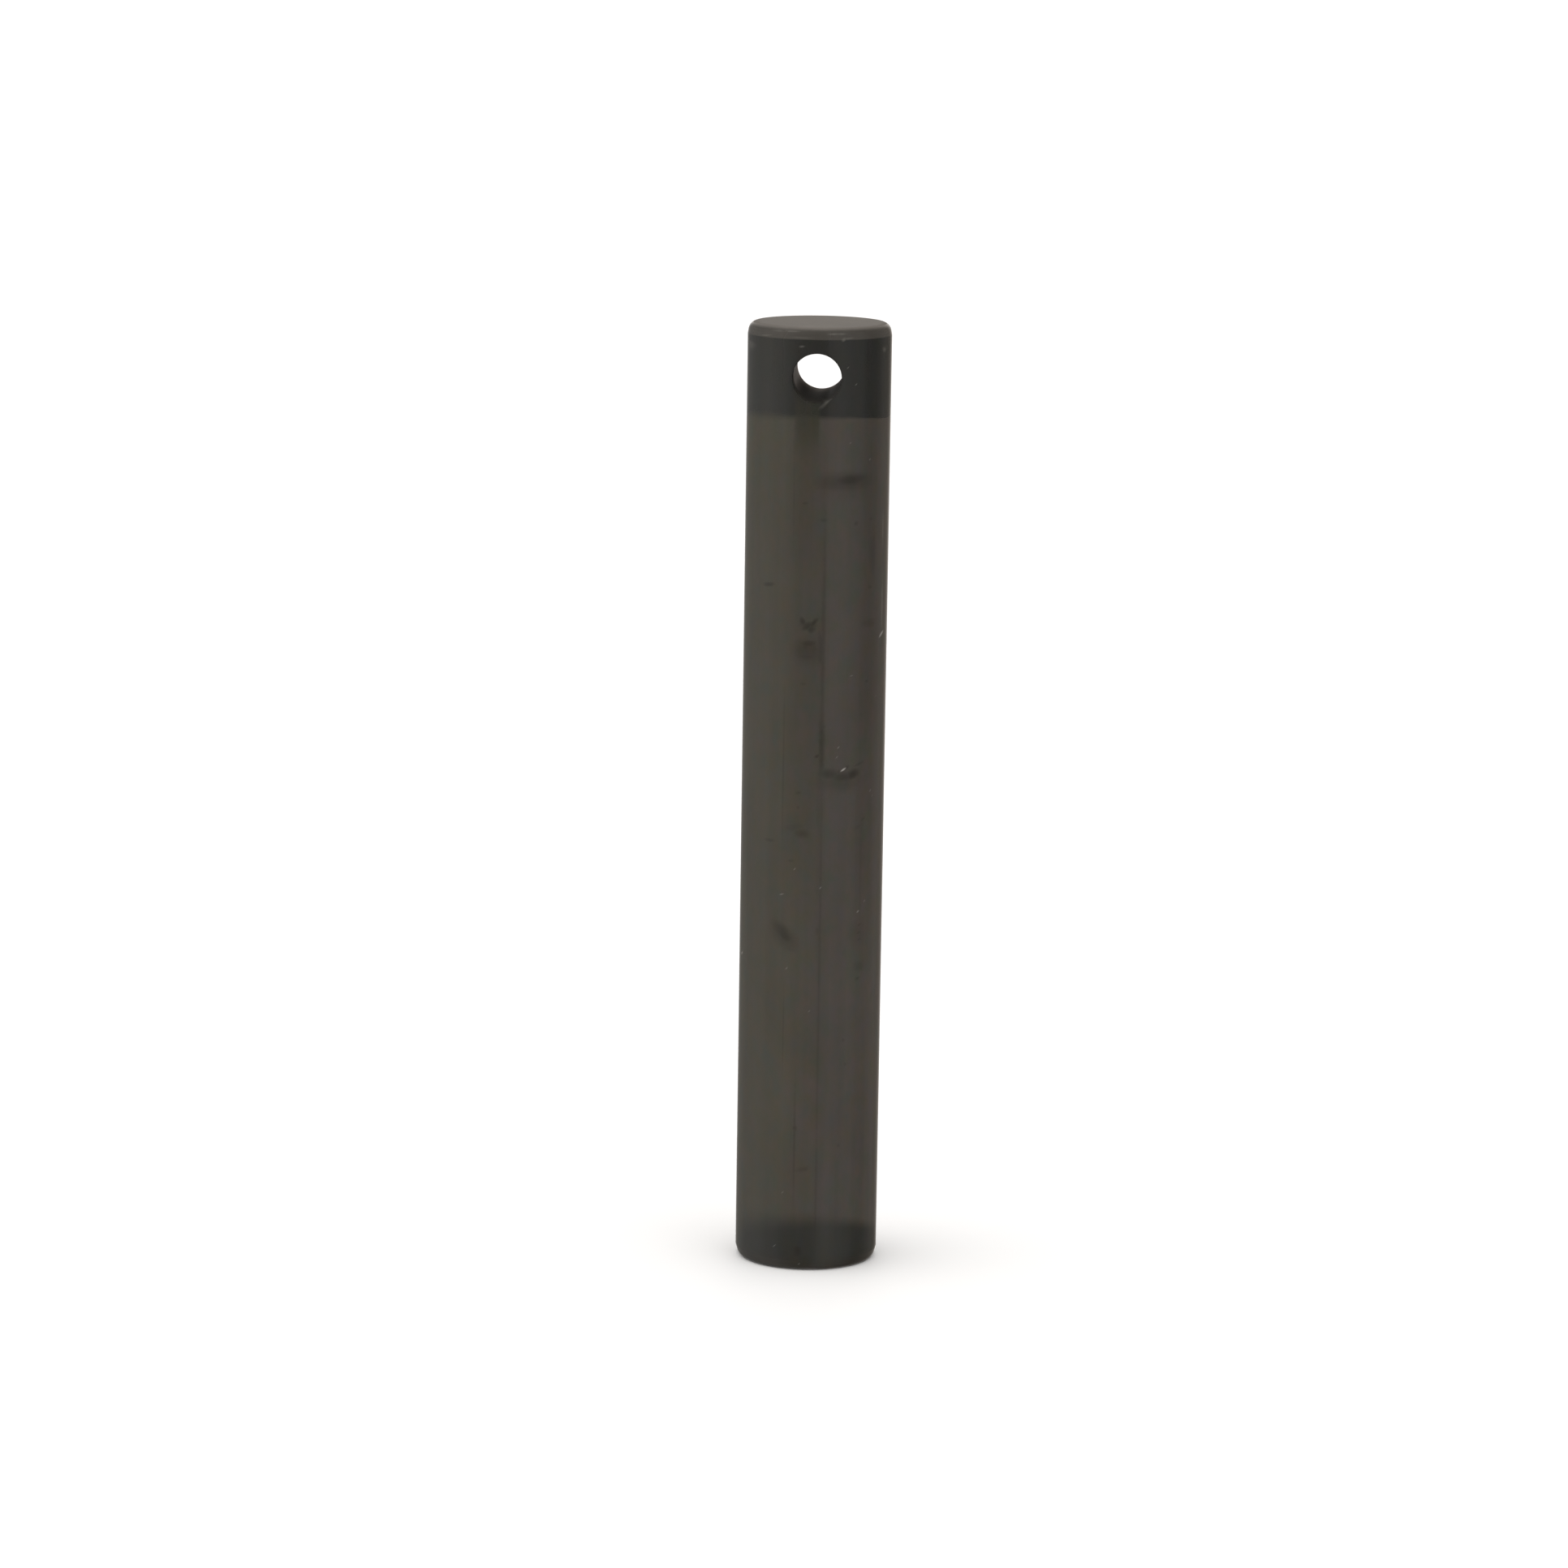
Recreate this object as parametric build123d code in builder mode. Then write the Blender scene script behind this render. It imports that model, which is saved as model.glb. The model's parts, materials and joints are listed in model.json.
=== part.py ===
from build123d import *
import math
import os

# Cross-drilled pivot pin: one turned steel bar, bevelled at both ends, with a bolt hole near its head.
# Millimetres. The pin stands on its foot face, +Z runs up its axis to the head, and the origin is the
# centre of the foot face. The bolt hole crosses the bar along Y.

# Bar, from face to face
bar_diameter = 40.0
bar_length = 265.5

# Each end has a lead-in bevel, long and shallow, that rounds over into the flat end face.
# A bevel's length is along the bar and its angle is from the bar's axis.
head_bevel_length = 3.4
head_bevel_angle = 10.0
head_corner_round = 2.5
foot_bevel_length = 3.0
foot_bevel_angle = 16.0
foot_corner_round = 1.8

# Hole for the keeper bolt, with both mouths broken
bolt_hole_diameter = 13.5
bolt_hole_from_head = 13.9
bolt_hole_mouth_break = 0.4

# Worked out from the sizes above
barrel_radius = bar_diameter / 2
barrel_top = bar_length - head_bevel_length
head_face_radius = barrel_radius - head_bevel_length * math.tan(math.radians(head_bevel_angle))
foot_face_radius = barrel_radius - foot_bevel_length * math.tan(math.radians(foot_bevel_angle))
bolt_hole_height = bar_length - bolt_hole_from_head

with BuildPart() as pivot_pin:
    # Half section of the bar, turned about its axis. In the sketch, X is the radius and Y the height.
    with BuildSketch(Plane.XZ) as half_section:
        with BuildLine():
            Polyline(
                (0, 0),
                (foot_face_radius, 0),
                (barrel_radius, foot_bevel_length),
                (barrel_radius, barrel_top),
                (head_face_radius, bar_length),
                (0, bar_length),
                close=True,
            )
        make_face()
        foot_corner = half_section.vertices().group_by(Axis.Y)[0].sort_by(Axis.X)[-1]
        fillet(foot_corner, radius=foot_corner_round)
        head_corner = half_section.vertices().group_by(Axis.Y)[-1].sort_by(Axis.X)[-1]
        fillet(head_corner, radius=head_corner_round)
    revolve(axis=Axis.Z)

    # Bolt hole, right through the bar
    with BuildSketch(Plane.XZ):
        with Locations((0, bolt_hole_height)):
            Circle(bolt_hole_diameter / 2)
    extrude(amount=barrel_radius, both=True, mode=Mode.SUBTRACT)
    mouth_edges = pivot_pin.edges(Select.LAST).filter_by(GeomType.LINE, reverse=True)
    chamfer(mouth_edges, length=bolt_hole_mouth_break)

pivot_pin.part.label = "pivot_pin"

os.makedirs("parts", exist_ok=True)
export_step(pivot_pin.part, "parts/pivot_pin.step")
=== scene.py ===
import json
import math

import bpy
from mathutils import Matrix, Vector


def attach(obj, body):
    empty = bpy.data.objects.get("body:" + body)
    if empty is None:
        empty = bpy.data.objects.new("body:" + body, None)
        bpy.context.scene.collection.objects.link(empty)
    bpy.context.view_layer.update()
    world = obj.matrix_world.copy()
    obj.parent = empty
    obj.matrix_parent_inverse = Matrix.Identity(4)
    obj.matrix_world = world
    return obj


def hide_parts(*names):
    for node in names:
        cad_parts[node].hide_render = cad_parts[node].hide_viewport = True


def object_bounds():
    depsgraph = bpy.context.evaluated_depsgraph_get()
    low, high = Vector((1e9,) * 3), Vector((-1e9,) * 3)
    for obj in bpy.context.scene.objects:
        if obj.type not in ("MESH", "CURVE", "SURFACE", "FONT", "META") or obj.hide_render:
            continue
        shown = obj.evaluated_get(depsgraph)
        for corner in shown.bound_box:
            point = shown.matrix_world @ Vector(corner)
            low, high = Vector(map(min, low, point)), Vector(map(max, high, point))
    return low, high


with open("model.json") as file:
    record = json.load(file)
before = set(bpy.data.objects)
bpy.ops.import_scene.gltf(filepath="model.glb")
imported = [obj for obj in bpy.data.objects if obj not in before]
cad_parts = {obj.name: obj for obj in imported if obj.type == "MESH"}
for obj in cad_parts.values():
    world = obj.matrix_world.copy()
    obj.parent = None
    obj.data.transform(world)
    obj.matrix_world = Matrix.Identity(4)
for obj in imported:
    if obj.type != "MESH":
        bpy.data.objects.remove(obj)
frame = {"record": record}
cadLow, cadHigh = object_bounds()
mounts = {mount["name"]: mount for mount in frame["record"]["mounts"]}
mm = 0.001  # every size list below is in millimetres
turn = 2 * math.pi


# Node trees are written as plain arithmetic on Wires. A Wire is one output of a node.

class Wire:
    def __init__(self, tree, socket):
        self.tree = tree
        self.socket = socket

    def math(self, operation, *others):
        return mathNode(self.tree, operation, self, *others)

    def __add__(self, other):
        return mathNode(self.tree, "ADD", self, other)

    def __radd__(self, other):
        return mathNode(self.tree, "ADD", other, self)

    def __sub__(self, other):
        return mathNode(self.tree, "SUBTRACT", self, other)

    def __rsub__(self, other):
        return mathNode(self.tree, "SUBTRACT", other, self)

    def __mul__(self, other):
        return mathNode(self.tree, "MULTIPLY", self, other)

    def __rmul__(self, other):
        return mathNode(self.tree, "MULTIPLY", other, self)

    def __truediv__(self, other):
        return mathNode(self.tree, "DIVIDE", self, other)

    def __rtruediv__(self, other):
        return mathNode(self.tree, "DIVIDE", other, self)

    def __neg__(self):
        return mathNode(self.tree, "MULTIPLY", self, -1.0)


def plug(tree, socket, value):
    if isinstance(value, Wire):
        tree.links.new(value.socket, socket)
    else:
        socket.default_value = value


def addNode(tree, kind, settings=None, inputs=None, output=0):
    node = tree.nodes.new(kind)
    for name, value in (settings or {}).items():
        setattr(node, name, value)
    for key, value in (inputs or {}).items():
        plug(tree, node.inputs[key], value)
    return Wire(tree, node.outputs[output])


def mathNode(tree, operation, *values):
    return addNode(tree, "ShaderNodeMath", {"operation": operation}, dict(enumerate(values)))


def clamp01(value):
    return value.math("MINIMUM", 1.0).math("MAXIMUM", 0.0)


def smooth(value, start, end):  # 0 at start, 1 at end, eased at both
    settings = {"interpolation_type": "SMOOTHSTEP"}
    inputs = {"Value": value, "From Min": start, "From Max": end}
    return addNode(value.tree, "ShaderNodeMapRange", settings, inputs)


def blendOf(low, high, amount):
    return low + amount * (high - low)


def joinXyz(tree, x, y, z):
    return addNode(tree, "ShaderNodeCombineXYZ", inputs={0: x, 1: y, 2: z})


def splitXyz(vector):
    node = vector.tree.nodes.new("ShaderNodeSeparateXYZ")
    vector.tree.links.new(vector.socket, node.inputs[0])
    return [Wire(vector.tree, output) for output in node.outputs]


# Camera and studio

view = {
    "distance": 1.5326,  # from the middle of the pin, m
    "pitch": 10.271,  # looks down by this much
    "turn": 1.965,  # stands this much to the right of the hole's axis
    "aimLeft": 0.303,
    "aimUp": 0.100,
    "roll": 0.904,
    "lens": 125.43,
}


def makeCamera():
    data = bpy.data.cameras.new("camera")
    data.sensor_width = 36
    data.lens = view["lens"]
    data.clip_start = 0.05
    data.clip_end = 200
    camera = bpy.data.objects.new("camera", data)
    bpy.context.scene.collection.objects.link(camera)
    turned = Matrix.Rotation(math.radians(view["turn"]), 4, "Z")
    pitched = Matrix.Rotation(math.radians(90 - view["pitch"]), 4, "X")
    back = Matrix.Translation((0, 0, view["distance"]))
    aim = Matrix.Rotation(math.radians(view["aimLeft"]), 4, "Y")
    aim = aim @ Matrix.Rotation(math.radians(view["aimUp"]), 4, "X")
    aim = aim @ Matrix.Rotation(math.radians(view["roll"]), 4, "Z")
    middle = Matrix.Translation((0, 0, cadHigh.z / 2))
    camera.matrix_world = middle @ turned @ pitched @ back @ aim
    bpy.context.scene.camera = camera


studio = {
    "backdrop": 1.15,  # what the camera sees past the floor
    # The room round the pin: compass angle (0 is the camera's side, 90 its right), brightness, warmth
    "room": [
        (-180, 1.00, 0.05), (-168, 0.62, 0.03), (-158, 0.24, 0.03), (-144, 0.26, 0.03), (-126, 0.38, 0.02),
        (-104, 0.60, 0.03), (-86, 0.84, 0.04), (-62, 0.74, 0.04), (-50, 0.63, 0.04), (-43, 0.52, 0.04),
        (-34, 0.42, 0.05), (-18, 0.34, 0.05), (2, 0.30, 0.05), (10, 0.32, 0.05), (12, 0.25, 0.06),
        (15, 0.25, 0.06), (17, 0.52, 0.05), (40, 0.61, 0.04), (56, 0.50, 0.03), (76, 0.44, 0.03),
        (86, 0.23, 0.04), (108, 0.17, 0.06), (128, 0.26, 0.08), (142, 0.18, 0.12), (156, 0.18, 0.14),
        (168, 0.62, 0.08),
    ],
    "topLight": 2.6,  # W/m2 on the floor, from a wide soft box overhead
    "topLightAngle": 110,
    "floorSize": 80.0,
    "floorTint": (0.9, 0.9, 0.9, 1),
    "floorRoughness": 0.9,
}


def makeRoom():
    world = bpy.data.worlds.new("studio")
    world.use_nodes = True
    tree = world.node_tree
    direction = addNode(tree, "ShaderNodeTexCoord", output="Generated")
    x, y, z = splitXyz(direction)
    compass = x.math("ARCTAN2", -y) / turn + 0.5
    ramp = tree.nodes.new("ShaderNodeValToRGB")
    plug(tree, ramp.inputs[0], compass)
    stops = ramp.color_ramp.elements
    room = studio["room"] + [(180,) + studio["room"][0][1:]]
    for number, (angle, level, warmth) in enumerate(room):
        place = angle / 360 + 0.5
        stop = stops[number] if number < 2 else stops.new(place)
        stop.position = place
        stop.color = (level * (1 + warmth), level, level * (1 - warmth), 1)
    seen = addNode(tree, "ShaderNodeLightPath", output="Is Camera Ray")
    backdrop = (studio["backdrop"],) * 3 + (1,)
    inputs = {0: seen, 6: Wire(tree, ramp.outputs[0]), 7: backdrop}
    shown = addNode(tree, "ShaderNodeMix", {"data_type": "RGBA"}, inputs, 2)
    plug(tree, tree.nodes["Background"].inputs["Color"], shown)
    bpy.context.scene.world = world
    bpy.context.scene.view_settings.view_transform = "Standard"


def makeTopLight():
    data = bpy.data.lights.new("topLight", "SUN")
    data.energy = studio["topLight"]
    data.angle = math.radians(studio["topLightAngle"])
    light = bpy.data.objects.new("topLight", data)
    light.visible_glossy = False  # the room alone shows in the polish
    bpy.context.scene.collection.objects.link(light)


def makeFloor():
    material = bpy.data.materials.new("paleFloor")
    material.use_nodes = True
    shader = material.node_tree.nodes["Principled BSDF"]
    shader.inputs["Base Color"].default_value = studio["floorTint"]
    shader.inputs["Roughness"].default_value = studio["floorRoughness"]
    half = studio["floorSize"] / 2
    mesh = bpy.data.meshes.new("floor")
    corners = [(-half, -half, 0), (half, -half, 0), (half, half, 0), (-half, half, 0)]
    mesh.from_pydata(corners, [], [(0, 1, 2, 3)])
    mesh.materials.append(material)
    floor = bpy.data.objects.new("floor", mesh)
    floor.visible_glossy = False
    bpy.context.scene.collection.objects.link(floor)


makeCamera()
makeRoom()
makeTopLight()
makeFloor()
print("camera and studio are ready")


# The oxided steel

barrelMiddle = mounts["barrel"]["pos_m"][2] / mm
barrelHigh = barrelMiddle + mounts["barrel"]["dims"]["length_mm"] / 2
barrelLow = barrelMiddle - mounts["barrel"]["dims"]["length_mm"] / 2
radius = min(cadHigh.x, -cadLow.x, cadHigh.y, -cadLow.y) / mm
length = cadHigh.z / mm
holeHeight = mounts["bolt_hole"]["pos_m"][2] / mm
holeRadius = mounts["bolt_hole"]["dims"]["r_mm"]

# Marks on the unrolled barrel, each with its angle from the hole's front mouth in degrees, its height,
# half width, half height, strength and slant
stains = [
    (28.0, 223.6, 6.8, 2.2, 0.46, 0.05), (24.5, 223.1, 9.8, 3.4, 0.30, 0.0),
    (24.0, 221.4, 9.4, 4.4, 0.10, 0.0), (-7.7, 217.3, 1.3, 0.5, 0.22, 0.1),
    (7.2, 212.7, 1.2, 0.7, 0.16, 0.0), (34.6, 211.6, 0.8, 0.7, 0.22, 0.3),
    (50.0, 212.5, 0.9, 0.7, 0.15, 0.0), (53.0, 202.5, 1.6, 8.0, 0.15, 0.0),
    (-38.9, 194.1, 2.5, 0.7, 0.38, 0.1), (50.0, 193.5, 1.1, 0.6, 0.18, 0.0),
    (50.0, 183.5, 3.4, 1.4, 0.15, 0.0), (-8.0, 184.4, 1.0, 1.3, 0.34, -0.6),
    (-4.6, 183.1, 1.8, 1.1, 0.34, 0.3), (0.4, 184.1, 1.5, 1.1, 0.36, 0.9),
    (-1.5, 182.5, 1.3, 1.3, 0.32, 0.0), (-3.8, 183.6, 2.6, 1.0, 0.30, 0.0),
    (-3.2, 178.4, 3.0, 1.3, 0.32, 0.1), (-6.0, 177.3, 1.4, 1.3, 0.24, 0.0),
    (-3.2, 176.5, 5.2, 4.2, 0.20, 0.0), (-4.4, 174.8, 3.8, 1.1, 0.22, 0.0),
    (6.5, 177.0, 1.5, 6.0, 0.18, 0.0), (-7.0, 167.2, 1.0, 0.5, 0.15, 0.0),
    (48.3, 167.3, 0.6, 0.5, 0.22, 0.0), (15.5, 141.9, 3.4, 1.9, 0.34, -0.1),
    (26.5, 140.9, 4.8, 1.8, 0.36, 0.0), (35.0, 141.4, 2.6, 1.9, 0.46, 0.2),
    (24.0, 139.4, 8.0, 3.2, 0.19, 0.0), (41.0, 144.2, 2.2, 0.5, 0.20, 0.3),
    (5.1, 147.0, 0.9, 0.6, 0.32, 0.3), (30.0, 143.6, 0.7, 0.7, 0.30, 0.5),
    (22.6, 142.4, 0.6, 0.8, 0.26, 0.5), (-9.5, 136.6, 0.9, 0.5, 0.18, 0.2),
    (-9.5, 132.4, 0.5, 0.6, 0.15, 0.0), (46.4, 128.5, 1.0, 0.6, 0.2, 0.4),
    (42.0, 126.5, 2.2, 0.8, 0.1, 0.3), (-6.2, 125.1, 2.4, 1.4, 0.20, 0.0),
    (-13.0, 126.8, 3.4, 1.2, 0.10, 0.2), (-34.4, 122.5, 2.2, 0.55, 0.22, 0.0),
    (-15.0, 117.3, 1.0, 0.5, 0.14, 0.0), (-21.0, 96.8, 4.1, 2.9, 0.34, -0.6),
    (-18.9, 95.9, 3.0, 2.3, 0.36, -0.4), (-20.0, 95.6, 4.8, 3.8, 0.21, -0.4),
    (-15.5, 92.5, 2.8, 1.1, 0.13, -0.3), (44.5, 98.5, 1.0, 0.45, 0.24, 0.3),
    (44.0, 96.4, 1.0, 0.45, 0.24, 0.3), (44.5, 94.4, 1.0, 0.45, 0.20, 0.3),
    (43.0, 96.0, 4.0, 4.4, 0.08, 0.0), (45.7, 86.8, 3.0, 1.8, 0.13, 0.0),
    (8.7, 97.5, 1.2, 1.4, 0.10, 0.0), (43.5, 83.3, 1.1, 0.5, 0.22, 0.3),
    (30.5, 66.2, 0.6, 0.6, 0.16, 0.0), (32.8, 59.2, 0.6, 0.6, 0.14, 0.0),
    (27.7, 36.0, 0.6, 0.6, 0.14, 0.0), (-1.5, 29.4, 2.4, 0.9, 0.15, 0.2),
    (-8.5, 41.2, 0.7, 1.0, 0.24, 0.0), (-4.5, 5.8, 1.3, 1.9, 0.28, 0.2),
    (-10.0, 225.0, 4.6, 30.0, 0.08, 0.0),
]
# Thin upright dark lines: painted reflections of darker strips of the room, drawn with the stains
paintedReflectionStreaks = [
    (8.6, 178.0, 0.75, 42.0, 0.15, 0.0), (8.7, 150.0, 1.0, 11.0, 0.26, 0.0),
    (9.4, 86.0, 0.5, 74.0, 0.12, 0.0), (-22.5, 143.0, 0.35, 26.0, 0.16, 0.0),
    (-19.3, 69.0, 0.35, 14.0, 0.14, 0.0), (-8.6, 38.0, 0.4, 20.0, 0.16, 0.0),
    (-16.8, 222.0, 0.5, 22.0, 0.14, 0.0), (45.0, 116.0, 0.6, 20.0, 0.08, 0.0),
    (9.5, 24.0, 0.5, 20.0, 0.14, 0.0), (43.8, 258.2, 0.45, 3.6, 0.22, -1.0),
]
# Paler marks: along the hole's lower right lip and along the bevel's lower edge they are painted
# highlights; elsewhere on the bevel and on the right flank the oxide is rubbed thin
rubsAndHighlights = [
    (11.2, 246.5, 2.6, 0.9, 0.50, 1.13), (5.5, 244.4, 1.5, 0.6, 0.26, 0.7),
    (-21.0, 264.3, 2.6, 0.28, 0.5, 0.0), (-34.0, 264.2, 2.6, 0.28, 0.3, 0.0),
    (12.6, 263.8, 1.7, 0.32, 0.6, 0.0), (19.8, 263.8, 1.7, 0.32, 0.5, 0.0),
    (21.2, 262.3, 0.8, 0.6, 0.5, 0.4), (-13.0, 262.7, 3.4, 0.3, 0.25, 0.0),
    (-69.0, 259.4, 3.4, 1.3, 0.26, 0.0), (65.0, 258.9, 1.3, 0.9, 0.34, 0.0),
    (67.9, 209.0, 0.45, 6.0, 0.42, 0.0), (68.8, 187.5, 0.5, 9.0, 0.5, 0.0),
]
nicks = [
    (-12.2, 260.3, 0.9, 0.36, 0.10, 0.1), (25.0, 254.6, 0.36, 0.16, 0.16, 0.9),
    (32.4, 249.9, 0.42, 0.18, 0.14, 0.7), (28.2, 233.9, 0.3, 0.16, 0.14, 0.6),
    (47.6, 229.0, 0.4, 0.18, 0.22, 0.6), (68.5, 179.7, 1.6, 0.5, 0.62, 0.5),
    (32.5, 169.2, 0.6, 0.2, 0.10, 0.2), (60.0, 162.6, 0.4, 0.2, 0.10, 0.6),
    (22.1, 149.3, 0.4, 0.22, 0.2, 0.9), (20.9, 146.6, 0.4, 0.18, 0.12, 0.9),
    (26.6, 143.0, 0.9, 0.34, 0.62, 0.55), (55.0, 136.2, 0.4, 0.2, 0.2, 0.9),
    (58.0, 134.6, 0.4, 0.2, 0.14, 0.9), (-11.7, 115.0, 0.4, 0.2, 0.2, 0.9),
    (9.3, 109.9, 0.36, 0.22, 0.22, 0.9), (-22.3, 107.6, 0.8, 0.22, 0.14, 0.3),
    (50.0, 105.1, 0.36, 0.2, 0.16, 0.9), (42.8, 102.4, 0.5, 0.28, 0.24, 0.5),
    (-72.1, 88.1, 0.8, 0.34, 0.7, 0.6), (-17.2, 86.7, 0.4, 0.26, 0.13, 0.9),
    (1.8, 74.8, 0.36, 0.2, 0.12, 0.9), (-17.8, 22.4, 0.4, 0.2, 0.12, 0.9),
    (-24.2, 6.7, 0.6, 0.15, 0.2, 0.9), (-3.5, 1.9, 0.4, 0.2, 0.2, 0.9),
]

# Heights and widths are in millimetres, places to the right or left in radii. A pair is where a change
# starts and where it is complete.
steel = {
    # The two oxide-dark ends
    "headTintLeft": (0.0150, 0.0152, 0.0130),
    "headTintRight": (0.0148, 0.0150, 0.0130),
    "headTintTurn": (-0.2, 0.2),
    "headEdge": 240.9,
    "headEdgeLean": 1.5,  # the edge is this much lower at the sides than in front
    "headEdgeSoft": (1.1, 0.8),  # half its width in front, and how much less to the right
    "footTint": (0.0170, 0.0172, 0.0142),
    "footEdgeTint": (0.0185, 0.0162, 0.0115),
    "footEdgeFade": (4.5, 1.5),  # heights
    "footEdge": 14.8,
    "footEdgeLean": 7.0,
    "footEdgeSoft": (3.2, 1.6),
    # The foot band is paler on its left flank: painted light on that side
    "footPaleFlank": (-0.84, -0.98),
    "footPaleStrength": 0.6,
    "edgeWander": 1.2,
    "footEdgeWander": 1.92,
    # The hardened middle, redder to the right
    "zoneTintLeft": (0.0470, 0.0415, 0.0295),
    "zoneTintRight": (0.0485, 0.0415, 0.0345),
    "zoneTintTurn": (-0.5, 0.3),
    "zoneTintGreen": (0.0420, 0.0428, 0.0325),  # patches of greener oxide
    "greenPatches": (-0.02, 0.16),
    "greenStrength": 0.7,
    "redderBy": 0.40,
    "bluerBy": 0.55,
    "yellowerBy": 0.09,  # high up on the left flank
    "yellowHigh": (210.0, 232.0),
    "yellowLeft": (-0.4, -0.7),
    "cloudy": 0.32,
    "streaky": 0.18,
    # Painted reflection: slow changes of tone across the front, lighter and darker upright bands that stand
    # in for the room's reflection in the polish: what each adds all over, and what it adds low down
    "toneLow": (165.0, 85.0),
    "toneFront": (-0.2, 0.2),
    "toneMiddle": (0.0020, 0.0065),
    "toneMiddleAt": (-0.1, 0.34, 0.16),  # its middle, then where it starts on each side of that
    "toneRight": (-0.0030, 0.0090),
    "toneRightAt": (0.42, 0.62),
    "toneRightRim": (1.0, 0.85),
    "toneLeft": (-0.0045, -0.0020),
    "toneLeftAt": (-0.38, -0.6),
    "footMiddle": 0.0055,
    "footMiddleAt": (0.1, 0.55, 0.2),
    "footRight": 0.0030,
    "footRightAt": (0.3, 0.6),
    "footLeft": -0.0030,
    "footLeftAt": (-0.6, 0.25, 0.05),
    "paintedReflectionWarmth": (1.08, 1.0, 0.85),
    # A run of quench oil dried below the hole's front mouth
    "dripTint": (0.0270, 0.0262, 0.0165),
    "dripAngle": -0.122,  # radians
    "dripEdge": (0.20, 0.13),
    "dripWander": 0.06,
    "dripLow": (228.0, 240.0),
    "dripHigh": (248.0, 243.0),
    "dripStrength": (0.82, 0.22),  # and how much less in the head band
    # Head face, head bevel and bore
    # The head face's pale grey is painted light: the face turns up towards the light
    "faceTint": (0.126, 0.114, 0.101),
    "bevelTint": (0.085, 0.075, 0.064),
    "bevelStrength": 0.5,
    "boreTint": (0.024, 0.020, 0.014),
    "boreFarMouthPaintedLight": (0.110, 0.092, 0.078),  # painted light at the far mouth
    "boreWallPaintedLight": (0.220, 0.165, 0.140),  # painted light on the wall on one side
    "boreFarMouth": (0.3, 0.9),  # radii behind the pin's axis
    "boreWallUp": (-5.6, -2.0),  # from the hole's centre
    "boreWallLeft": (-3.0, -5.0),
    "boreWallDeep": (-0.68, -0.48),  # radii behind the pin's axis
    "boreRight": (1.5, 3.5),
    "boreDepth": (0.35, 0.6),  # below the barrel's surface
    "bevelFade": (-0.1, 0.3),  # above the barrel's upper end
    "faceFade": (1.1, 0.1),  # below the head face
    # Marks
    # darkens both the real stains and the painted reflection streaks
    "stainAndReflectionStreakTint": (0.011, 0.008, 0.005),
    "stainAndReflectionStreakStrength": 1.6,
    "rubAndHighlightTint": (0.120, 0.114, 0.100),
    "bareTint": (0.55, 0.53, 0.50),
    "raggedStains": 0.7,
    "raggedNicks": 0.35,
    "scuffs": (0.12, 0.24),  # on the head bevel
    "scuffStrength": 0.35,
    # Seeded marks on the sides and back: cells a metre, size in cells, strength
    "scatteredStains": ((75, 75, 120), 0.13, 0.40),
    "scatteredNicks": ((100, 100, 190), 0.045, 0.5),
    # Gloss and relief
    "headRoughness": 0.27,
    "zoneRoughness": 0.30,
    "faceRoughness": 0.42,
    "boreRoughness": 0.50,
    "boreWallRoughness": 0.29,
    "boreRightGlossier": 0.11,
    "cloudyRoughness": 0.05,
    "stainRoughness": 0.06,
    "grain": 1.0,  # anisotropic: turning marks blur the shine along the bar
    "ior": 1.45,
    "turningDepth": 0.04,  # micrometres
    "faceTurningDepth": 0.25,
    "faceRings": 9.0,  # radians of their wave a millimetre
    "nickDepth": 20.0,
    "faceRingsFrom": (1.5, 3.0),  # inside the barrel's radius
    "layFade": (0.4, 0.05),  # below the head face, which has no lay
    "scuffsFade": (0.2, 1.2),  # below the head face
}
# The noises that break it up: cycles a metre along x, y and z, detail, roughness, shift
noises = {
    "blotches": ((60, 60, 40), 3.0, 0.55, 0.0),
    "patches": ((160, 160, 110), 3.0, 0.6, 19.0),
    "redder": ((330, 330, 210), 2.0, 0.6, 29.0),
    "bluer": ((290, 290, 190), 2.0, 0.6, 37.0),
    "ragged": ((700, 700, 700), 2.0, 0.6, 7.0),
    "rings": ((6, 6, 2600), 3.0, 0.6, 3.0),
    "runs": ((420, 420, 9), 2.0, 0.5, 11.0),
    "scuffs": ((130, 130, 900), 2.0, 0.6, 23.0),
}


def noiseField(tree, place, stretch, detail, roughness, shift):  # from about -0.5 to 0.5
    scaled = addNode(tree, "ShaderNodeVectorMath", {"operation": "MULTIPLY"}, {0: place, 1: stretch})
    moved = addNode(tree, "ShaderNodeVectorMath", {"operation": "ADD"}, {0: scaled, 1: (shift,) * 3})
    inputs = {"Vector": moved, "Scale": 1.0, "Detail": detail, "Roughness": roughness}
    return addNode(tree, "ShaderNodeTexNoise", inputs=inputs) - 0.5


def makeSpotGroup():  # one soft-edged oval mark on the unrolled barrel
    group = bpy.data.node_groups.new("spot", "ShaderNodeTree")
    where = ("Arc", "Height", "Ragged", "At Arc", "At Height")
    for name in where + ("Half Width", "Half Height", "Slant", "Strength"):
        group.interface.new_socket(name, in_out="INPUT", socket_type="NodeSocketFloat")
    group.interface.new_socket("Mask", in_out="OUTPUT", socket_type="NodeSocketFloat")
    source = group.nodes.new("NodeGroupInput")
    at = {name: Wire(group, source.outputs[name]) for name in source.outputs.keys() if name}
    across = at["Arc"] - at["At Arc"]
    up = at["Height"] - at["At Height"] - across * at["Slant"]
    acrossShare = (across / at["Half Width"]).math("POWER", 2.0)
    upShare = (up / at["Half Height"]).math("POWER", 2.0)
    largeMark = at["Half Width"].math("MAXIMUM", 1.5)
    ragged = at["Ragged"] * 1.5 / largeMark
    mask = smooth((acrossShare + upShare).math("SQRT") + ragged, 1.25, 0.15) * at["Strength"]
    plug(group, group.nodes.new("NodeGroupOutput").inputs["Mask"], mask)
    return group


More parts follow.
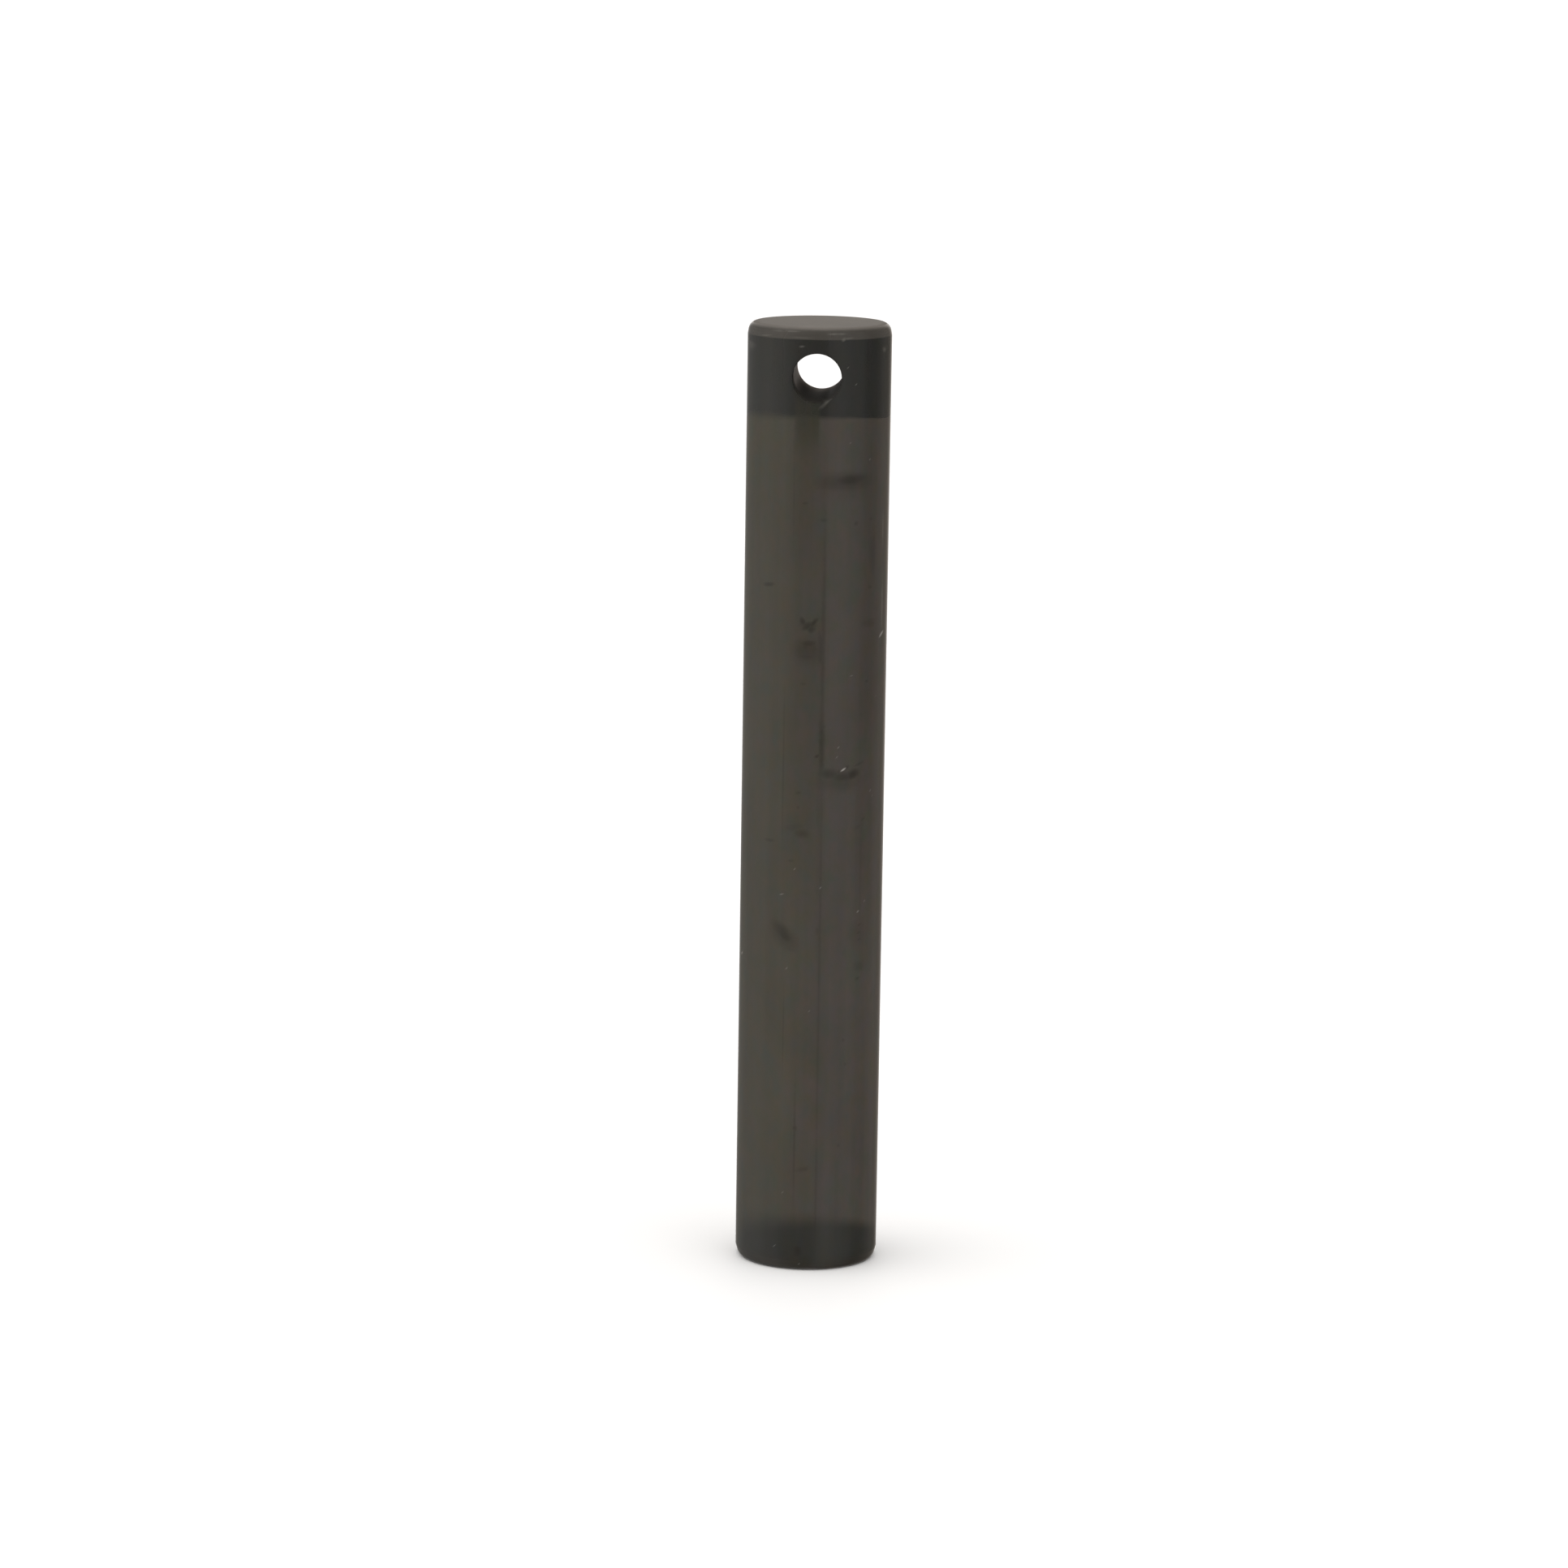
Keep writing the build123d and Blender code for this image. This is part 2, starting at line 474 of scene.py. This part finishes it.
def spots(tree, group, marks, at, raggedness):
    total = None
    ragged = at["ragged"] * raggedness
    for angle, high, halfWidth, halfHeight, strength, slant in marks:
        node = tree.nodes.new("ShaderNodeGroup")
        node.node_tree = group
        values = {
            "Arc": at["arc"],
            "Height": at["z"],
            "Ragged": ragged,
            "At Arc": math.radians(angle) * radius,
            "At Height": high,
            "Half Width": halfWidth,
            "Half Height": halfHeight,
            "Slant": slant,
            "Strength": strength,
        }
        for name, value in values.items():
            plug(tree, node.inputs[name], value)
        mask = Wire(tree, node.outputs["Mask"])
        total = mask if total is None else total.math("MAXIMUM", mask)
    return total


def scattered(tree, at, density, size, strength):  # seeded marks on the sides and back
    scaled = addNode(tree, "ShaderNodeVectorMath", {"operation": "MULTIPLY"}, {0: at["place"], 1: density})
    cells = addNode(tree, "ShaderNodeTexVoronoi", inputs={"Vector": scaled, "Scale": 1.0})
    chance, reach, _ = splitXyz(Wire(tree, cells.socket.node.outputs["Color"]))
    kept = smooth(chance, 0.5, 0.56) * smooth(at["front"], 0.3, -0.1)
    return smooth(cells, reach * size + size * 0.4, 0.0) * kept * strength


def mixTint(tree, amount, low, high):
    node = tree.nodes.new("ShaderNodeMix")
    node.data_type = "RGBA"
    node.clamp_factor = True
    for number, value in ((0, amount), (6, low), (7, high)):
        plug(tree, node.inputs[number], value + (1,) if isinstance(value, tuple) else value)
    return Wire(tree, node.outputs[2])


def surfaceFields(tree):
    # Where a point is, in millimetres and radians. front and side are in radii, to the front and the right.
    place = addNode(tree, "ShaderNodeTexCoord", output="Object")
    x, y, z = [part / mm for part in splitXyz(place)]
    angle = x.math("ARCTAN2", -y)
    at = {"place": place, "x": x, "y": y, "z": z, "angle": angle, "arc": angle * radius}
    at["fromAxis"] = (x * x + y * y).math("SQRT")
    at["front"] = -y / radius
    at["side"] = x / radius
    for name, settings in noises.items():
        at[name] = noiseField(tree, place, *settings)
    return at


def bandEdge(at, end, wander):  # height of the edge between a dark end and the middle, and half its width
    high = steel[end + "Edge"] + (at["front"] - 1.0) * steel[end + "EdgeLean"] + at["blotches"] * wander
    width, less = steel[end + "EdgeSoft"]
    return high, width - at["side"] * less


def addBands(at):
    high, soft = bandEdge(at, "head", steel["edgeWander"])
    at["headBand"] = smooth(at["z"], high - soft, high + soft)
    high, soft = bandEdge(at, "foot", steel["footEdgeWander"])
    # painted light: the foot band fades on its left flank
    flank = smooth(at["side"], *steel["footPaleFlank"]) * steel["footPaleStrength"]
    at["footBand"] = smooth(at["z"], high + soft, high - soft) * (1.0 - flank)
    beside = (at["angle"] - steel["dripAngle"] + at["runs"] * steel["dripWander"]).math("ABSOLUTE")
    drip = smooth(beside, *steel["dripEdge"]) * smooth(at["front"], 0.0, 0.3)
    at["drip"] = drip * smooth(at["z"], *steel["dripLow"]) * smooth(at["z"], *steel["dripHigh"])


def addEnds(at):  # masks of the bore, the wall in it where light is painted, the head's bevel and its flat face
    z = at["z"]
    bore = smooth(radius - at["fromAxis"], *steel["boreDepth"])
    at["bore"] = bore * smooth(z, barrelHigh, barrelHigh - 0.2) * smooth(z, barrelLow, barrelLow + 0.2)
    wall = smooth(z - holeHeight, *steel["boreWallUp"]) * smooth(at["x"], *steel["boreWallLeft"])
    at["boreWall"] = wall * smooth(at["y"] / radius, *steel["boreWallDeep"])
    at["headEnd"] = smooth(z - barrelHigh, *steel["bevelFade"])
    at["face"] = smooth(length - z, *steel["faceFade"])


def addMarks(tree, at):
    group = makeSpotGroup()
    stained = spots(tree, group, stains, at, steel["raggedStains"])
    # the painted reflection streaks join the stains
    stained = stained.math("MAXIMUM", spots(tree, group, paintedReflectionStreaks, at, steel["raggedStains"]))
    at["stained"] = stained.math("MAXIMUM", scattered(tree, at, *steel["scatteredStains"]))
    nicked = spots(tree, group, nicks, at, steel["raggedNicks"])
    at["nicked"] = nicked.math("MAXIMUM", scattered(tree, at, *steel["scatteredNicks"]))
    scuffed = smooth(at["scuffs"], *steel["scuffs"]) * steel["scuffStrength"]
    scuffed = scuffed * at["headEnd"] * smooth(length - at["z"], *steel["scuffsFade"])
    # rubbed oxide together with the painted highlights
    at["rubbed"] = scuffed.math("MAXIMUM", spots(tree, group, rubsAndHighlights, at, steel["raggedStains"]))


def band(side, middle, start, end):  # an upright band of the front
    return smooth((side - middle).math("ABSOLUTE"), start, end)


# Painted reflection and shade: the front is lighter or darker by side and lower down, in the middle and in
# the foot band
def paintedReflectionField(at):
    side = at["side"]
    low = smooth(at["z"], *steel["toneLow"]) * smooth(at["front"], *steel["toneFront"])
    masks = {
        "toneMiddle": band(side, *steel["toneMiddleAt"]),
        "toneRight": smooth(side, *steel["toneRightAt"]) * smooth(side, *steel["toneRightRim"]),
        "toneLeft": smooth(side, *steel["toneLeftAt"]),
    }
    zone = sum(mask * (low * steel[name][1] + steel[name][0]) for name, mask in masks.items())
    foot = band(side, *steel["footMiddleAt"]) * steel["footMiddle"]
    foot = foot + smooth(side, *steel["footRightAt"]) * steel["footRight"]
    foot = foot + band(side, *steel["footLeftAt"]) * steel["footLeft"]
    return zone * (1.0 - at["headBand"]) * (1.0 - at["footBand"]) + foot * at["footBand"]


def oxideTint(tree, at):
    side = at["side"]
    z = at["z"]
    right = smooth(side, *steel["zoneTintTurn"])
    zone = mixTint(tree, right, steel["zoneTintLeft"], steel["zoneTintRight"])
    green = smooth(at["patches"], *steel["greenPatches"]) * steel["greenStrength"]
    zone = mixTint(tree, green, zone, steel["zoneTintGreen"])
    right = smooth(side, *steel["headTintTurn"])
    head = mixTint(tree, right, steel["headTintLeft"], steel["headTintRight"])
    edge = smooth(z, *steel["footEdgeFade"])
    foot = mixTint(tree, edge, steel["footTint"], steel["footEdgeTint"])
    tint = mixTint(tree, at["headBand"], zone, head)
    tint = mixTint(tree, at["footBand"], tint, foot)
    strength, less = steel["dripStrength"]
    tint = mixTint(tree, at["drip"] * (strength - at["headBand"] * less), tint, steel["dripTint"])
    # adds the painted reflection bands to the tint
    inputs = {0: paintedReflectionField(at), 1: steel["paintedReflectionWarmth"], 2: tint}
    tint = addNode(tree, "ShaderNodeVectorMath", {"operation": "MULTIPLY_ADD"}, inputs)
    red = at["redder"] * steel["redderBy"] + 1.0
    yellower = smooth(z, *steel["yellowHigh"]) * smooth(side, *steel["yellowLeft"]) * steel["yellowerBy"]
    blue = at["bluer"] * steel["bluerBy"] + 1.0 - yellower
    inputs = {0: tint, 1: joinXyz(tree, red, 1.0, blue)}
    return addNode(tree, "ShaderNodeVectorMath", {"operation": "MULTIPLY"}, inputs)


def steelTint(tree, at):
    stained = at["stained"] * steel["stainAndReflectionStreakStrength"]
    tint = mixTint(tree, stained, oxideTint(tree, at), steel["stainAndReflectionStreakTint"])
    tint = mixTint(tree, at["headEnd"] * steel["bevelStrength"], tint, steel["bevelTint"])
    # painted light on the upturned head face
    tint = mixTint(tree, at["face"], tint, steel["faceTint"])
    # Painted light in the bore: paler towards the far mouth and on the left wall
    farMouth = smooth(at["y"] / radius, *steel["boreFarMouth"])
    bore = mixTint(tree, farMouth, steel["boreTint"], steel["boreFarMouthPaintedLight"])
    bore = mixTint(tree, at["boreWall"], bore, steel["boreWallPaintedLight"])
    tint = mixTint(tree, at["bore"], tint, bore)
    # paler where the oxide is rubbed thin and where highlights are painted on the hole's lip and the
    # bevel's lower edge
    tint = mixTint(tree, at["rubbed"], tint, steel["rubAndHighlightTint"])
    tint = mixTint(tree, at["nicked"], tint, steel["bareTint"])
    level = at["blotches"] * steel["cloudy"] + at["runs"] * steel["streaky"] + 1.0
    return addNode(tree, "ShaderNodeVectorMath", {"operation": "SCALE"}, {0: tint, "Scale": level})


def steelRoughness(at):
    rough = blendOf(steel["zoneRoughness"], steel["headRoughness"], at["headBand"])
    rough = blendOf(rough, steel["faceRoughness"], at["face"])
    rough = rough + at["blotches"] * steel["cloudyRoughness"] + at["stained"] * steel["stainRoughness"]
    bore = blendOf(steel["boreRoughness"], steel["boreWallRoughness"], at["boreWall"])
    bore = bore - smooth(at["x"], *steel["boreRight"]) * steel["boreRightGlossier"]
    return blendOf(rough, bore, at["bore"])


def steelRelief(at):  # in micrometres
    fromAxis = at["fromAxis"]
    faceRings = (fromAxis * steel["faceRings"]).math("SINE")
    faceRings = faceRings * smooth(radius - fromAxis, *steel["faceRingsFrom"]) * steel["faceTurningDepth"]
    return at["rings"] * steel["turningDepth"] + faceRings - at["nicked"] * steel["nickDepth"]


def makeSteel():
    material = bpy.data.materials.new("oxidedSteel")
    material.use_nodes = True
    tree = material.node_tree
    at = surfaceFields(tree)
    addBands(at)
    addEnds(at)
    addMarks(tree, at)
    along = addNode(tree, "ShaderNodeTangent", {"direction_type": "UV_MAP", "uv_map": "OFBake"})
    inputs = {0: smooth(length - at["z"], *steel["layFade"]), 4: along, 5: (1.0, 0.0, 0.0)}
    grain = addNode(tree, "ShaderNodeMix", {"data_type": "VECTOR"}, inputs, 1)
    inputs = {"Height": steelRelief(at), "Distance": 1e-6, "Strength": 1.0}
    surface = {
        "Base Color": steelTint(tree, at),
        "Metallic": clamp01(at["nicked"]),
        "Roughness": steelRoughness(at),
        "IOR": steel["ior"],
        "Anisotropic": steel["grain"],
        "Anisotropic Rotation": 0.25,
        "Tangent": grain,
        "Normal": addNode(tree, "ShaderNodeBump", inputs=inputs),
    }
    for name, value in surface.items():
        plug(tree, tree.nodes["Principled BSDF"].inputs[name], value)
    return material


oxidedSteel = makeSteel()
print("steel is mixed")


# The turned pin

pin = {
    "headBevelAngle": 10.0,
    "headCornerRound": 2.5,
    "footBevelAngle": 16.0,
    "footCornerRound": 1.8,
    "mouthBreak": 0.4,
    "columns": 240,  # quads round the bar
    "shankRows": 227,
    "beltCells": 20,  # half the hole belt's height, in quads
    "holeCells": 14,  # half the square that the hole takes the place of
    "breakRows": 4,
    "boreRows": 36,
    "endRows": 28,
    "endCrowding": 1.6,  # packs an end's rows towards its bevel
    "mapMargin": 0.005,
    "barStrip": 0.78,  # share of the map's width that the outside takes
    "endMapRun": 1.15,  # radii of its height that each end takes
    "boreMap": (0.81, 0.4, 0.18),  # where the bore lies in it, and how wide and high
    "mergeDistance": 0.002,
    "wave": 0.003,  # how far the turned surface wanders
    "waveStretch": (25, 25, 90),  # along x, y and z
    "waveFade": 3.0,  # from each bevel
    "dingWidths": (0.5, 1.2),  # half widths of the small dings
    "dingLip": 0.2,  # share of its depth that a ding's rim stands up
    "dingDepth": 0.05,
    "dingDensity": 900.0,  # small dings on a square metre
    "dingSeed": 4,
}
# Deeper dings: angle, height, half width
dings = [
    (26.6, 142.8, 1.6), (68.5, 179.5, 1.5), (-72.1, 88.0, 1.3), (-18.4, 95.6, 1.8),
    (-2.0, 183.4, 1.8), (140.0, 201.0, 1.6), (-150.0, 120.0, 1.8), (100.0, 60.0, 1.5),
]


def nodeInputs(tree, sizes):
    tree.interface.new_socket("Geometry", in_out="INPUT", socket_type="NodeSocketGeometry")
    for name, value in sizes.items():
        kind = "NodeSocketInt" if isinstance(value, int) else "NodeSocketFloat"
        tree.interface.new_socket(name, in_out="INPUT", socket_type=kind).default_value = value
    tree.interface.new_socket("Geometry", in_out="OUTPUT", socket_type="NodeSocketGeometry")
    source = tree.nodes.new("NodeGroupInput")
    return {name: Wire(tree, source.outputs[name]) for name in source.outputs.keys() if name}


def flatSheet(tree, across, up):  # flat quads whose u and v run from 0 to 1
    inputs = {"Size X": 1.0, "Size Y": 1.0, "Vertices X": across + 1, "Vertices Y": up + 1}
    sheet = addNode(tree, "GeometryNodeMeshGrid", inputs=inputs)
    u, v, _ = splitXyz(addNode(tree, "GeometryNodeInputPosition"))
    return sheet, u + 0.5, v + 0.5


def mapped(tree, sheet, u, v):
    settings = {"data_type": "FLOAT2", "domain": "CORNER"}
    inputs = {"Geometry": sheet, "Name": "OFBake", "Value": joinXyz(tree, u, v, 0.0)}
    return addNode(tree, "GeometryNodeStoreNamedAttribute", settings, inputs)


def placed(tree, sheet, place):
    return addNode(tree, "GeometryNodeSetPosition", inputs={"Geometry": sheet, "Position": place})


def turnedSheet(tree, sheet, angle, reach, height, along):  # rolls a sheet round the bar
    margin = pin["mapMargin"]
    strip = (angle / turn + 0.25) * pin["barStrip"]
    sheet = mapped(tree, sheet, strip + margin, along * (1 - margin * 2) + margin)
    place = joinXyz(tree, reach * angle.math("SINE"), -(reach * angle.math("COSINE")), height)
    return placed(tree, sheet, place)


def shankSheet(tree, at):
    sheet, u, v = flatSheet(tree, at["Columns"], at["Shank Rows"])
    low = at["Barrel Low"]
    height = low + v * (at["Belt Low"] - low)
    along = (at["End Run"] + height - low) / at["Whole Run"]
    return turnedSheet(tree, sheet, u * turn - turn / 4, at["Radius"], height, along)


def beltSheet(tree, at):  # carries both mouths of the hole, at 0 and 180 degrees
    sheet, u, v = flatSheet(tree, at["Columns"], at["Belt Cells"] * 2)
    straight = u * turn - turn / 4
    behind = straight.math("GREATER_THAN", turn / 4) * (turn / 2)
    local = straight - behind
    cell = turn / at["Columns"]
    across = local / cell
    up = (v - 0.5) * 2 * at["Belt Cells"]
    reach = across.math("ABSOLUTE").math("MAXIMUM", up.math("ABSOLUTE"))
    wide = across.math("ABSOLUTE").math("GREATER_THAN", up.math("ABSOLUTE"))
    sign = blendOf(up.math("SIGN"), across.math("SIGN"), wide)
    spoke = blendOf(turn / 4 - across / up * (turn / 8), up / across * (turn / 8), wide)
    rowHeight = at["Belt Half"] / at["Belt Cells"]
    ring = at["Mouth Radius"] + (reach - at["Hole Cells"]) * rowHeight
    roundAngle = (sign * ring * spoke.math("COSINE") / at["Radius"]).math("ARCSINE")
    roundHeight = sign * ring * spoke.math("SINE")
    plain = smooth(reach, at["Hole Cells"], at["Belt Cells"])
    angle = blendOf(roundAngle, local, plain) + behind
    height = at["Hole Height"] + blendOf(roundHeight, up * rowHeight, plain)
    inside = reach.math("LESS_THAN", at["Hole Cells"])
    inputs = {"Geometry": sheet, "Selection": inside}
    cut = addNode(tree, "GeometryNodeDeleteGeometry", {"domain": "FACE"}, inputs)
    along = (at["End Run"] + height - at["Barrel Low"]) / at["Whole Run"]
    return turnedSheet(tree, cut, angle, at["Radius"], height, along)


def boreSheet(tree, at):
    rows = pin["breakRows"] * 2 + pin["boreRows"]
    sheet, u, v = flatSheet(tree, at["Hole Cells"] * 8, rows)
    spoke = u * turn
    row = v * rows
    fromMouth = row.math("MINIMUM", rows - row)
    broken = clamp01(fromMouth / pin["breakRows"]) * (turn / 4)
    edge = at["Mouth Radius"] - at["Hole Radius"]
    reach = at["Hole Radius"] + edge * (1.0 - broken.math("SINE"))
    x = reach * spoke.math("COSINE")
    halfWay = (at["Radius"] * at["Radius"] - x * x).math("SQRT") - edge * (1.0 - broken.math("COSINE"))
    through = clamp01((row - pin["breakRows"]) / pin["boreRows"])
    y = halfWay * (through * 2 - 1.0)
    height = at["Hole Height"] + reach * spoke.math("SINE")
    left, low, size = pin["boreMap"]
    sheet = mapped(tree, sheet, u * size + left, v * size + low)
    return placed(tree, sheet, joinXyz(tree, x, y, height))


def endSheet(tree, at, end, start, bevelLength, side):
    # Bevel, rounded corner and flat face. side is 1 at the head and -1 at the foot.
    cornerRound = at[end + " Corner Round"]
    sheet, u, v = flatSheet(tree, at["Columns"], pin["endRows"])
    inward = v if side > 0 else 1.0 - v
    lean = at[end + " Bevel Angle"]
    swing = turn / 4 - lean
    flatEdge = cornerRound * (swing / 2).math("TANGENT")
    slope = bevelLength / lean.math("COSINE") - flatEdge
    arcLength = cornerRound * swing
    faceEdge = at["Radius"] - bevelLength * lean.math("TANGENT")
    run = slope + arcLength + faceEdge - flatEdge
    gone = run * inward.math("POWER", pin["endCrowding"])
    onSlope = gone.math("MINIMUM", slope)
    onArc = (gone - slope).math("MAXIMUM", 0.0).math("MINIMUM", arcLength) / cornerRound
    onFace = (gone - slope - arcLength).math("MAXIMUM", 0.0)
    swung = lean + onArc
    reach = at["Radius"] - onSlope * lean.math("SINE") - onFace
    reach = reach - cornerRound * (lean.math("COSINE") - swung.math("COSINE"))
    rise = onSlope * lean.math("COSINE") + cornerRound * (swung.math("SINE") - lean.math("SINE"))
    height = start + rise * side
    runFromFoot = at["End Run"] - gone if side < 0 else at["Whole Run"] - at["End Run"] + gone
    along = clamp01(runFromFoot / at["Whole Run"])
    return turnedSheet(tree, sheet, u * turn - turn / 4, reach.math("MAXIMUM", 0.0), height, along)


def turningWave(tree, at, place):  # slow waves left by the turning, none near the bevels
    x, y, z = splitXyz(place)
    fade = pin["waveFade"] * mm
    onBarrel = smooth(z, at["Barrel Low"], at["Barrel Low"] + fade)
    onBarrel = onBarrel * smooth(z, at["Barrel High"], at["Barrel High"] - fade)
    stretched = joinXyz(tree, *[part * size for part, size in zip((x, y, z), pin["waveStretch"])])
    inputs = {"Vector": stretched, "Scale": 1.0, "Detail": 2.0}
    wave = (addNode(tree, "ShaderNodeTexNoise", inputs=inputs) - 0.55) * 2
    return wave * at["Wave"] * onBarrel


def dingCentres(tree, at, body):  # the given points and a few seeded ones, each with its half width
    inputs = {"Mesh": body, "Density": at["Ding Density"], "Seed": at["Seed"]}
    settings = {"distribute_method": "RANDOM"}
    seeded = addNode(tree, "GeometryNodeDistributePointsOnFaces", settings, inputs)
    narrow, wide = pin["dingWidths"]
    inputs = {2: narrow * mm, 3: wide * mm, "Seed": at["Seed"]}
    size = addNode(tree, "FunctionNodeRandomValue", {"data_type": "FLOAT"}, inputs, 1)
    settings = {"data_type": "FLOAT", "domain": "POINT"}
    inputs = {"Geometry": seeded, "Name": "halfWidth", "Value": size}
    seeded = addNode(tree, "GeometryNodeStoreNamedAttribute", settings, inputs)
    given = addNode(tree, "GeometryNodeMeshToPoints", inputs={"Mesh": at["Geometry"]})
    both = tree.nodes.new("GeometryNodeJoinGeometry")
    plug(tree, both.inputs[0], seeded)
    plug(tree, both.inputs[0], given)
    return Wire(tree, both.outputs[0])


def dented(tree, at, body):
    place = addNode(tree, "GeometryNodeInputPosition")
    normal = addNode(tree, "GeometryNodeInputNormal")
    points = dingCentres(tree, at, body)
    inputs = {"Geometry": points, "Sample Position": place}
    nearest = addNode(tree, "GeometryNodeSampleNearest", {"domain": "POINT"}, inputs)
    inputs = {"Name": "halfWidth"}
    name = addNode(tree, "GeometryNodeInputNamedAttribute", {"data_type": "FLOAT"}, inputs)
    settings = {"data_type": "FLOAT", "domain": "POINT"}
    inputs = {"Geometry": points, "Value": name, "Index": nearest}
    width = addNode(tree, "GeometryNodeSampleIndex", settings, inputs)
    settings = {"data_type": "FLOAT_VECTOR", "domain": "POINT"}
    inputs = {"Geometry": points, "Value": place, "Index": nearest}
    centre = addNode(tree, "GeometryNodeSampleIndex", settings, inputs)
    inputs = {0: place, 1: centre}
    gap = addNode(tree, "ShaderNodeVectorMath", {"operation": "DISTANCE"}, inputs, "Value")
    far = gap / width
    lip = smooth(far, 1.6, 1.1) * smooth(far, 0.7, 1.1) * pin["dingLip"]
    push = turningWave(tree, at, place) - (smooth(far, 1.0, 0.0) - lip) * at["Ding Depth"]
    inputs = {0: normal, "Scale": push}
    offset = addNode(tree, "ShaderNodeVectorMath", {"operation": "SCALE"}, inputs)
    return addNode(tree, "GeometryNodeSetPosition", inputs={"Geometry": body, "Offset": offset})


def makePinTree(sizes):
    tree = bpy.data.node_groups.new("turnedPin", "GeometryNodeTree")
    at = nodeInputs(tree, sizes)
    at["Belt Half"] = at["Barrel High"] - at["Hole Height"]
    at["Belt Low"] = at["Hole Height"] - at["Belt Half"]
    at["Mouth Radius"] = at["Hole Radius"] + at["Mouth Break"]
    at["End Run"] = at["Radius"] * pin["endMapRun"]
    at["Whole Run"] = at["Barrel High"] - at["Barrel Low"] + at["End Run"] * 2
    headBevel = at["Length"] - at["Barrel High"]
    head = endSheet(tree, at, "Head", at["Barrel High"], headBevel, 1)
    foot = endSheet(tree, at, "Foot", at["Barrel Low"], at["Barrel Low"], -1)
    joined = tree.nodes.new("GeometryNodeJoinGeometry")
    for sheet in (foot, shankSheet(tree, at), beltSheet(tree, at), boreSheet(tree, at), head):
        plug(tree, joined.inputs[0], sheet)
    inputs = {"Geometry": Wire(tree, joined.outputs[0]), "Distance": at["Merge Distance"]}
    body = addNode(tree, "GeometryNodeMergeByDistance", inputs=inputs)
    body = dented(tree, at, body)
    body = addNode(tree, "GeometryNodeSetShadeSmooth", inputs={"Geometry": body, "Shade Smooth": True})
    body = addNode(tree, "GeometryNodeSetMaterial", inputs={"Geometry": body, "Material": oxidedSteel})
    plug(tree, tree.nodes.new("NodeGroupOutput").inputs["Geometry"], body)
    return tree


def dingPoints():  # the deeper dings as loose points on the barrel, for the tree to read
    mesh = bpy.data.meshes.new("dingPoints")
    points = []
    for angle, height, halfWidth in dings:
        bearing = math.radians(angle)
        points.append((radius * mm * math.sin(bearing), -radius * mm * math.cos(bearing), height * mm))
    mesh.from_pydata(points, [], [])
    widths = mesh.attributes.new("halfWidth", "FLOAT", "POINT")
    widths.data.foreach_set("value", [halfWidth * mm for angle, height, halfWidth in dings])
    return mesh


def makePin():
    sizes = {
        "Radius": radius * mm,
        "Length": length * mm,
        "Barrel Low": barrelLow * mm,
        "Barrel High": barrelHigh * mm,
        "Hole Height": holeHeight * mm,
        "Hole Radius": holeRadius * mm,
        "Mouth Break": pin["mouthBreak"] * mm,
        "Head Bevel Angle": math.radians(pin["headBevelAngle"]),
        "Head Corner Round": pin["headCornerRound"] * mm,
        "Foot Bevel Angle": math.radians(pin["footBevelAngle"]),
        "Foot Corner Round": pin["footCornerRound"] * mm,
        "Merge Distance": pin["mergeDistance"] * mm,
        "Wave": pin["wave"] * mm,
        "Ding Depth": pin["dingDepth"] * mm,
        "Ding Density": pin["dingDensity"],
        "Seed": pin["dingSeed"],
        "Columns": pin["columns"],
        "Shank Rows": pin["shankRows"],
        "Belt Cells": pin["beltCells"],
        "Hole Cells": pin["holeCells"],
    }
    tree = makePinTree(sizes)
    rough = bpy.data.objects.new("pinRough", dingPoints())
    bpy.context.scene.collection.objects.link(rough)
    modifier = rough.modifiers.new("turnedPin", "NODES")
    modifier.node_group = tree
    for item in tree.interface.items_tree:
        if item.in_out == "INPUT" and item.name in sizes:
            modifier[item.identifier] = sizes[item.name]
    bpy.context.view_layer.update()
    finished = rough.evaluated_get(bpy.context.evaluated_depsgraph_get())
    mesh = bpy.data.meshes.new_from_object(finished)
    mesh.name = "turnedPin"
    bpy.data.objects.remove(rough)
    pinObject = bpy.data.objects.new("turned_pin", mesh)
    bpy.context.scene.collection.objects.link(pinObject)
    return pinObject


turnedPin = makePin()
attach(turnedPin, "root")
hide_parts("pivot_pin")
mesh = turnedPin.data
mesh.calc_loop_triangles()
print("pin is turned:", len(mesh.vertices), "points", len(mesh.loop_triangles), "triangles")
